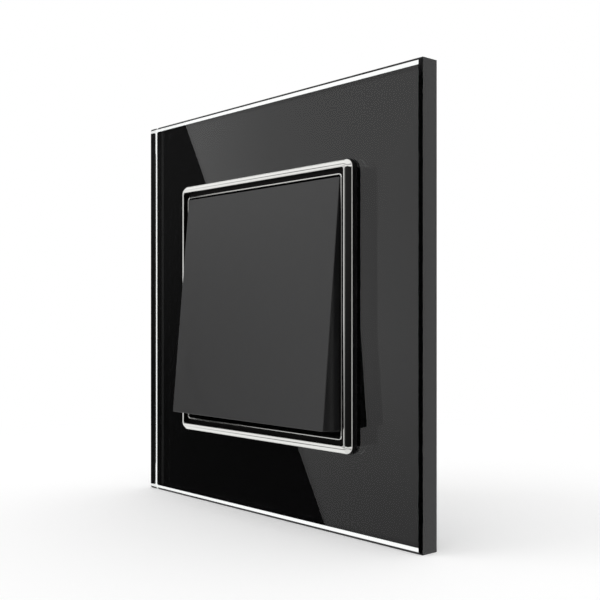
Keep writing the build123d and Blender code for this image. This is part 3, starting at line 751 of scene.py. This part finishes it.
class SWITCH_OT_mouldings(Operator):
    """Bezel, carrier frame, mechanism housing and rear cover"""

    bl_idname = "switch.mouldings"
    bl_label = "Mouldings"

    def execute(self, context):
        ease = context.scene.switch_fasteners.mould_round
        # The bezel comes from a polished tool and is nearly a mirror, with finer edges than the rest
        gloss = moulded("Gloss black moulded plastic", colour("#161617"), 0.22, 0.5 * MM, 0.0006 * MM, 0.05)
        eased("insert_bezel", 0.06 * MM, "bezel_moulding", gloss, "switch")
        # The hidden carrier comes from a coarsely eroded tool, which leaves it dull
        black = moulded("Textured black moulded plastic", colour("#232324"), 0.5, 0.45 * MM, 0.008 * MM, 0.1)
        eased("carrier_frame", ease, "carrier_moulding", black, "switch")
        # Glass fibres near the skin leave the housing matt and faintly mottled
        grey = moulded("Light grey glass-filled nylon", colour("#D6D4CF"), 0.48, 0.4 * MM, 0.006 * MM, 0.05)
        eased("mechanism_housing", ease, "housing_moulding", grey, "switch")
        eased("rear_cover", ease, "cover_moulding", grey, "switch")
        return {"FINISHED"}


class SWITCH_OT_sheet_metal(Operator):
    """Support plate, the three strips, the lever and the terminal cages"""

    bl_idname = "switch.sheet_metal"
    bl_label = "Sheet metal"

    def execute(self, context):
        ease = context.scene.switch_fasteners.sheet_round
        # Zinc dulls in soft bluish clouds, over the lines that rolling left across the sheet
        zinc = metal(
            "Bright zinc on rolled steel", colour("#CDD0D4"), colour("#A9AEB6"), 0.3, (24, 1, 1), 0.3 * MM,
            0.0015 * MM,
        )
        eased("support_plate", ease, "plate_stamping", zinc, "switch")
        # Rolled brass and copper are smoother, and darken where they have been handled
        upright_lines, fine = (1, 1, 20), 0.2 * MM
        brass = metal("Rolled brass", colour("#DDC07E"), colour("#B99550"), 0.26, upright_lines, fine)
        for label in ("common", "lower", "upper"):
            eased(f"{label}_strip", ease, f"{label}_strip_stamping", brass, "switch")
            eased(f"{label}_terminal_cage", ease, f"{label}_cage_stamping", zinc, f"{label}_cage")
        copper = metal("Rolled copper alloy", colour("#D69A78"), colour("#A86B4C"), 0.28, upright_lines, fine)
        eased("contact_lever", ease, "lever_stamping", copper, "lever")
        return {"FINISHED"}


class SWITCH_OT_contacts(Operator):
    """Silver contacts: two domed rivets in the strips and two in the lever"""

    bl_idname = "switch.contacts"
    bl_label = "Contacts"

    def execute(self, context):
        # Silver alloy is pale and warm, and tarnishes in clouds
        silver = metal("Silver contact alloy", colour("#E6E4DE"), colour("#BDB8AC"), 0.22, grain=0.3 * MM)
        dress("moving_contacts", silver)
        low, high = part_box("fixed_contacts")
        radius, shank, head = high.x, 0.8 * MM, 0.8 * MM
        # Share of the radius and depth in mm, down the dome
        dome = ((0, 0), (0.45, 0.03), (0.75, 0.1), (0.93, 0.24), (1, 0.42))
        profile = [(share * radius, low.y + depth * MM) for share, depth in dome]
        profile += [(radius, low.y + head), (shank, low.y + head), (shank, high.y), (0, high.y)]
        rivet = as_mesh(lathe(profile, 40), "contact", 60)
        mesh = spread("contact_rivets", rivet, 0.0, 2 * (high.z - radius), 0, silver, 0.0)
        keep("contact_rivets", mesh, [silver], "switch", "fixed_contacts")
        return {"FINISHED"}


class SWITCH_OT_fasteners(Operator):
    """Deck rivets and cover screws, each set spread by one tree of Geometry Nodes"""

    bl_idname = "switch.fasteners"
    bl_label = "Rivets and cover screws"

    def execute(self, context):
        settings = context.scene.switch_fasteners

        # Upsetting leaves aluminium pale and a little dull
        aluminium = metal("Upset aluminium", colour("#DADBDC"), colour("#B7B9BB"), 0.32, grain=0.2 * MM)
        low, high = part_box("flange_rivets")
        radius, shank, deck = 2.0 * MM, 1.2 * MM, low.y + 0.7 * MM
        # Share of the radius and depth in mm, down the head's dome
        dome = ((0, 0), (0.5, 0.06), (0.8, 0.2), (0.95, 0.4), (1, 0.6))
        profile = [(share * radius, low.y + depth * MM) for share, depth in dome]
        # Below the deck the foot is spread wide, and its end is hollow
        profile += [
            (radius, deck), (shank, deck), (shank, high.y - 0.65 * MM),
            (radius - 0.15 * MM, high.y - 0.02 * MM), (0.8 * radius, high.y),
            (0.35 * radius, high.y - 0.05 * MM), (0, high.y - 0.12 * MM),
        ]
        across, up = 2 * (high.x - radius), 2 * (high.z - radius)
        rivet = as_mesh(lathe(profile, 40), "rivet", 50)
        mesh = spread("deck_rivets", rivet, across, up, settings.turn_seed, aluminium)
        keep("deck_rivets", mesh, [aluminium], "switch", "flange_rivets")

        # Zinc plating is bright and bluish, and clouds as it ages
        plated = metal("Zinc-plated screw steel", colour("#D0D1D3"), colour("#A8ABB0"), 0.25)
        low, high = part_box("cover_screws")
        radius, shank, core, back, tip = 2.15 * MM, 1.2 * MM, 0.85 * MM, high.y, low.y
        profile = [(0, tip), (0.5 * MM, tip), (0.8 * MM, tip + 0.6 * MM)]
        # Coarse thread for plastic, one ridge for each turn, up to below the countersunk head
        depth, pitch, head = tip + 0.9 * MM, 0.62 * MM, 2.6 * MM
        while depth < back - head:
            profile += [(core, depth), (shank, depth + 0.28 * MM), (shank, depth + 0.34 * MM)]
            depth += pitch
        profile += [
            (0.95 * MM, back - 1.9 * MM), (shank, back - 1.1 * MM), (radius - 0.04 * MM, back - 0.1 * MM),
            (radius - 0.03 * MM, back - 0.03 * MM), (radius - 0.1 * MM, back), (0, back),
        ]
        screw = as_mesh(lathe(profile, 40), "cover_screw", 40)
        # The two slots of the cross are cut one after the other, each narrower at its floor
        reach, wing, over = 1.25 * MM, 0.27 * MM, 0.1 * MM
        for x, z in ((reach, wing), (wing, reach)):
            slot = block((-x, back - settings.recess_depth, -z), (x, back + over, z), 0.55)
            screw = cut(screw, slot, "cover_screw")
        across, up = 2 * (high.x - radius), 2 * (high.z - radius)
        mesh = spread("cover_screw_set", screw, across, up, settings.turn_seed, plated)
        mesh.set_sharp_from_angle(angle=radians(40))
        keep("cover_screw_set", mesh, [plated], "switch", "cover_screws")
        return {"FINISHED"}


class SWITCH_OT_terminal_screws(Operator):
    """The three slotted terminal screws with their threads"""

    bl_idname = "switch.terminal_screws"
    bl_label = "Terminal screws"

    def execute(self, context):
        settings = context.scene.switch_fasteners
        # The turned screws are a little warmer in tone than the cover's
        plated = metal("Turned zinc-plated steel", colour("#D6D4CC"), colour("#B1AFA6"), 0.24)
        shank, head, slot_depth, slot_half, over = 1.5 * MM, 1.8 * MM, 0.9 * MM, 0.4 * MM, 0.1 * MM
        for label in ("common", "lower", "upper"):
            node = f"{label}_terminal_screw"
            low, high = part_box(node)
            middle = (low + high) / 2
            radius = (high.x - low.x) / 2
            back, under = high.y, high.y - head
            blank = as_mesh(lathe([
                (0, under), (radius - 0.12 * MM, under), (radius, under + 0.12 * MM),
                (radius, back - 0.3 * MM), (radius - 0.1 * MM, back - 0.1 * MM), (radius - 0.3 * MM, back),
                (0, back),
            ], 48), "head", 40)
            slot = block(
                (-radius - over, back - slot_depth, -slot_half), (radius + over, back + over, slot_half)
            )
            work = bmesh.new()
            work.from_mesh(cut(blank, slot, "slotted_head"))
            self.thread(work, shank, low.y, under + over, settings.thread_pitch, settings.thread_depth)
            mesh = as_mesh(work, f"{label}_screw_turned", 40)
            mesh.transform(Matrix.Translation((middle.x, 0, middle.z)))
            keep(f"{label}_screw_turned", mesh, [plated], f"{label}_screw", node)
        return {"FINISHED"}

    def thread(self, work, radius, start, end, pitch, depth, steps=24, rows=6):
        """A closed threaded rod about the Y axis: each point's radius follows the thread's V there."""
        count = int((end - start) / pitch * rows)
        rings = []
        for row in range(count + 1):
            y = start + (end - start) * row / count
            # The thread runs in over most of a turn, and its ridge has a narrow flat
            lead = min(1.0, (y - start) / (0.8 * pitch))
            ring = []
            for k in range(steps):
                phase = ((y - start) / pitch - k / steps) % 1.0
                groove = 1 - abs(2 * phase - 1)
                r = radius - depth * (1 - lead * max(0.0, min(1.0, 1.25 * groove - 0.1)))
                ring.append(work.verts.new((r * cos(2 * pi * k / steps), y, r * sin(2 * pi * k / steps))))
            rings.append(ring)
        skin(work, rings, closed=False)
        work.faces.new(rings[0])
        work.faces.new(rings[-1])


class SWITCH_OT_stage(Operator):
    """Camera, white ground and soft studio light"""

    bl_idname = "switch.stage"
    bl_label = "Camera, ground and light"

    def execute(self, context):
        stage = context.scene.switch_stage
        self.camera(context.scene, stage)
        self.world(context.scene, stage)
        self.floor(stage)
        self.card(stage)
        lamp = bpy.data.lights.new("window_light", "AREA")
        lamp.shape, lamp.size, lamp.energy = "SQUARE", 0.7, stage.lamp_power
        key = new_object("window_light", lamp)
        key.location = (-0.55, -0.75, 0.75)
        key.rotation_euler = (-key.location).to_track_quat("-Z", "Y").to_euler()
        key.visible_glossy = False
        key.visible_transmission = False
        return {"FINISHED"}

    def camera(self, scene, stage):
        """The camera of the photograph: level, and 49 degrees round to the right."""
        data = bpy.data.cameras.new("camera")
        data.sensor_width = 36
        data.lens = stage.lens
        data.shift_y = 0.0246
        data.clip_start, data.clip_end = 0.005, 20
        camera = new_object("camera", data)
        camera.location = (0.1402, -0.1231, -0.0014)
        heading = Vector((-sin(stage.camera_azimuth), cos(stage.camera_azimuth), 0))
        camera.rotation_euler = heading.to_track_quat("-Z", "Y").to_euler()
        scene.camera = camera
        scene.view_settings.view_transform = "Standard"

    def world(self, scene, stage):
        """White on all sides but the front, where the unlit room leaves the glass and chrome dark."""
        world = bpy.data.worlds.new("studio")
        world.use_nodes = True
        scene.world = world
        tree = world.node_tree
        tree.nodes.clear()
        heading = add(tree, "ShaderNodeTexCoord").outputs["Generated"]
        axes = add(tree, "ShaderNodeSeparateXYZ", sockets={0: heading}).outputs
        steep = add(tree, "ShaderNodeMath", {"operation": "ABSOLUTE"}, {0: axes["Z"]})
        right, back, above = axes["X"], axes["Y"], axes["Z"]
        # A zone joins its ramps, may be turned into a dimming to some level, and then joins what is there.
        # A ramp goes from a first level to a second between two places along one direction.
        zones = (
            # White to the sides, behind, above and below
            ("MAXIMUM", [(back, -0.40, -0.28, 0, 1), (steep, 0.24, 0.29, 0, 1)], None, "MAXIMUM"),
            # A low bright strip to the front right, which the ring's lip mirrors
            ("MULTIPLY", [
                (back, -0.54, -0.51, 0, 1), (right, 0.5, 0.6, 0, 1), (steep, 0.2, 0.15, 0, 1),
            ], None, "MAXIMUM"),
            # A little more above and to the far left
            ("MAXIMUM", [(above, 0.3, 0.5, 1, 1.2), (right, -0.55, -0.75, 1, 1.14)], None, "MULTIPLY"),
            # The bevels mirror what is high or low behind the switch, which is dark
            ("MULTIPLY", [(back, 0.06, 0.18, 0, 1), (steep, 0.42, 0.55, 0, 1)], 0.12, "MULTIPLY"),
            # A gap between the card and the white above it, which draws the crease along the ring's crest
            ("MULTIPLY", [
                (steep, 0.52, 0.56, 0, 1), (steep, 0.655, 0.645, 0, 1), (back, -0.12, -0.22, 0, 1),
            ], 0.2, "MULTIPLY"),
            # The unlit room in front, darker low down and to the right
            ("MULTIPLY", [(above, -0.15, 0.15, 0.03, 0.075), (right, -0.2, 0.1, 1, 0.27)], None, "MAXIMUM"),
        )
        level = 0.0
        for joining, ramps, dimming, joined in zones:
            zone = 1.0 if joining == "MULTIPLY" else 0.0
            for direction, start, end, first, second in ramps:
                ramp = add(tree, "ShaderNodeMapRange", {"interpolation_type": "SMOOTHSTEP"}, {
                    "Value": direction, "From Min": start, "From Max": end, "To Min": first, "To Max": second,
                })
                zone = add(tree, "ShaderNodeMath", {"operation": joining}, {0: zone, 1: ramp})
            if dimming is not None:
                zone = add(tree, "ShaderNodeMapRange", {"interpolation_type": "SMOOTHSTEP"}, {
                    "Value": zone, "To Min": 1.0, "To Max": dimming,
                })
            level = add(tree, "ShaderNodeMath", {"operation": joined}, {0: level, 1: zone})
        path = add(tree, "ShaderNodeLightPath").outputs
        sharp = add(tree, "ShaderNodeMath", {"operation": "MAXIMUM"}, {
            0: path["Is Glossy Ray"], 1: path["Is Transmission Ray"],
        })
        unseen = add(tree, "ShaderNodeMix", {"data_type": "FLOAT"}, {0: sharp, 2: stage.soft_level, 3: level})
        strength = add(tree, "ShaderNodeMix", {"data_type": "FLOAT"}, {
            0: path["Is Camera Ray"], 2: unseen, 3: 1.0,
        })
        light = add(tree, "ShaderNodeBackground", sockets={"Color": (1, 1, 1, 1), "Strength": strength})
        add(tree, "ShaderNodeOutputWorld", sockets={"Surface": light})

    def floor(self, stage):
        """White ground under the panel, which takes its soft shadow and fades into the white behind."""
        work = bmesh.new()
        depth = stage.floor_depth
        radii = (0.05, 0.15, 0.3, 0.6, 1.5, 6.0)
        rings = [circle(work, radius, lambda x, y: (x, y, depth), 48) for radius in radii]
        skin(work, rings, closed=False)
        work.faces.new(rings[0])
        mesh = flat_mesh(work, "ground")
        for face in mesh.polygons:
            if face.normal.z < 0:
                face.flip()
        ground = new_object("ground", mesh)
        material, tree, place = new_material("White ground")
        axes = add(tree, "ShaderNodeSeparateXYZ", sockets={0: place}).outputs
        flat = add(tree, "ShaderNodeCombineXYZ", sockets={"X": axes["X"], "Y": axes["Y"]})
        reach = add(tree, "ShaderNodeVectorMath", {"operation": "LENGTH"}, {0: flat}).outputs["Value"]
        far = add(tree, "ShaderNodeMapRange", {"interpolation_type": "SMOOTHSTEP"}, {
            "Value": reach, "From Min": 0.02, "From Max": 0.17,
        })
        # The glow is only for what shows the ground, and lights nothing
        path = add(tree, "ShaderNodeLightPath").outputs
        seen = 0.0
        for ray in ("Is Camera Ray", "Is Transmission Ray", "Is Glossy Ray"):
            seen = add(tree, "ShaderNodeMath", {"operation": "ADD", "use_clamp": True}, {
                0: seen, 1: path[ray],
            })
        paper = add(tree, "ShaderNodeBsdfDiffuse", sockets={"Color": colour("#F5F5F5")})
        glow = add(tree, "ShaderNodeEmission", sockets={
            "Strength": add(tree, "ShaderNodeMath", {"operation": "MULTIPLY"}, {
                0: seen, 1: stage.ground_glow,
            }),
        })
        near = add(tree, "ShaderNodeAddShader", sockets={0: paper, 1: glow})
        away = add(tree, "ShaderNodeEmission", sockets={"Strength": seen})
        mesh.materials.append(end_material(material, "ShaderNodeMixShader", {0: far, 1: near, 2: away}))
        ground.visible_glossy = False
        ground.visible_transmission = False

    def card(self, stage):
        """The large pale card that the panel mirrors, front left, with a slanting edge."""
        left, slant, right = -0.685, -0.376, -0.13
        bottom, top, depth = -0.260, 0.293, -0.42
        corners = [(left, top), (slant, bottom), (right, bottom), (right, top)]
        work = bmesh.new()
        work.faces.new([work.verts.new((x, depth, z)) for x, z in corners])
        mesh = flat_mesh(work, "card")
        card = new_object("card", mesh)
        material, tree, place = new_material("Pale card")
        axes = add(tree, "ShaderNodeSeparateXYZ", sockets={0: place}).outputs
        # Dimmer low down, and towards the right
        low = add(tree, "ShaderNodeMapRange", {"interpolation_type": "SMOOTHSTEP"}, {
            "Value": axes["Z"], "From Min": -0.2, "From Max": 0.0, "To Min": 0.62, "To Max": 1.0,
        })
        side = add(tree, "ShaderNodeMapRange", sockets={
            "Value": axes["X"], "From Min": -0.62, "From Max": -0.50, "To Min": 1.06, "To Max": 0.89,
        })
        level = stage.card_level
        for share in (side, low):
            level = add(tree, "ShaderNodeMath", {"operation": "MULTIPLY"}, {0: share, 1: level})
        mesh.materials.append(end_material(material, "ShaderNodeEmission", {"Strength": level}))
        card.visible_camera = False
        card.visible_diffuse = False
        card.visible_shadow = False


class SWITCH_PT_panel(Panel):
    """Every step and every setting of the switch"""

    bl_idname = "SWITCH_PT_panel"
    bl_label = "Rocker light switch"
    bl_space_type = "VIEW_3D"
    bl_region_type = "UI"
    bl_category = "Switch"

    def draw(self, context):
        for operator in OPERATORS:
            self.layout.operator(operator.bl_idname, text=operator.bl_label)
        for name in GROUPS:
            group = getattr(context.scene, name)
            box = self.layout.box()
            for setting in group.__annotations__:
                box.prop(group, setting)


OPERATORS = (
    SWITCH_OT_glass_panel,
    SWITCH_OT_chrome_ring,
    SWITCH_OT_rocker,
    SWITCH_OT_mouldings,
    SWITCH_OT_sheet_metal,
    SWITCH_OT_contacts,
    SWITCH_OT_fasteners,
    SWITCH_OT_terminal_screws,
    SWITCH_OT_stage,
)
GROUPS = {
    "switch_panel": PanelSettings,
    "switch_ring": RingSettings,
    "switch_rocker": RockerSettings,
    "switch_fasteners": FastenerSettings,
    "switch_stage": StageSettings,
}
CLASSES = tuple(GROUPS.values()) + OPERATORS + (SWITCH_PT_panel,)


def register():
    for item in CLASSES:
        bpy.utils.register_class(item)
    for name, group in GROUPS.items():
        setattr(bpy.types.Scene, name, PointerProperty(type=group))


def unregister():
    for name in GROUPS:
        delattr(bpy.types.Scene, name)
    for item in reversed(CLASSES):
        bpy.utils.unregister_class(item)


def main():
    """Make every piece and the stage."""
    register()
    bpy.ops.switch.glass_panel()
    bpy.ops.switch.chrome_ring()
    bpy.ops.switch.rocker()
    bpy.ops.switch.mouldings()
    bpy.ops.switch.sheet_metal()
    bpy.ops.switch.contacts()
    bpy.ops.switch.fasteners()
    bpy.ops.switch.terminal_screws()
    bpy.ops.switch.stage()


if __name__ == "__main__":
    main()
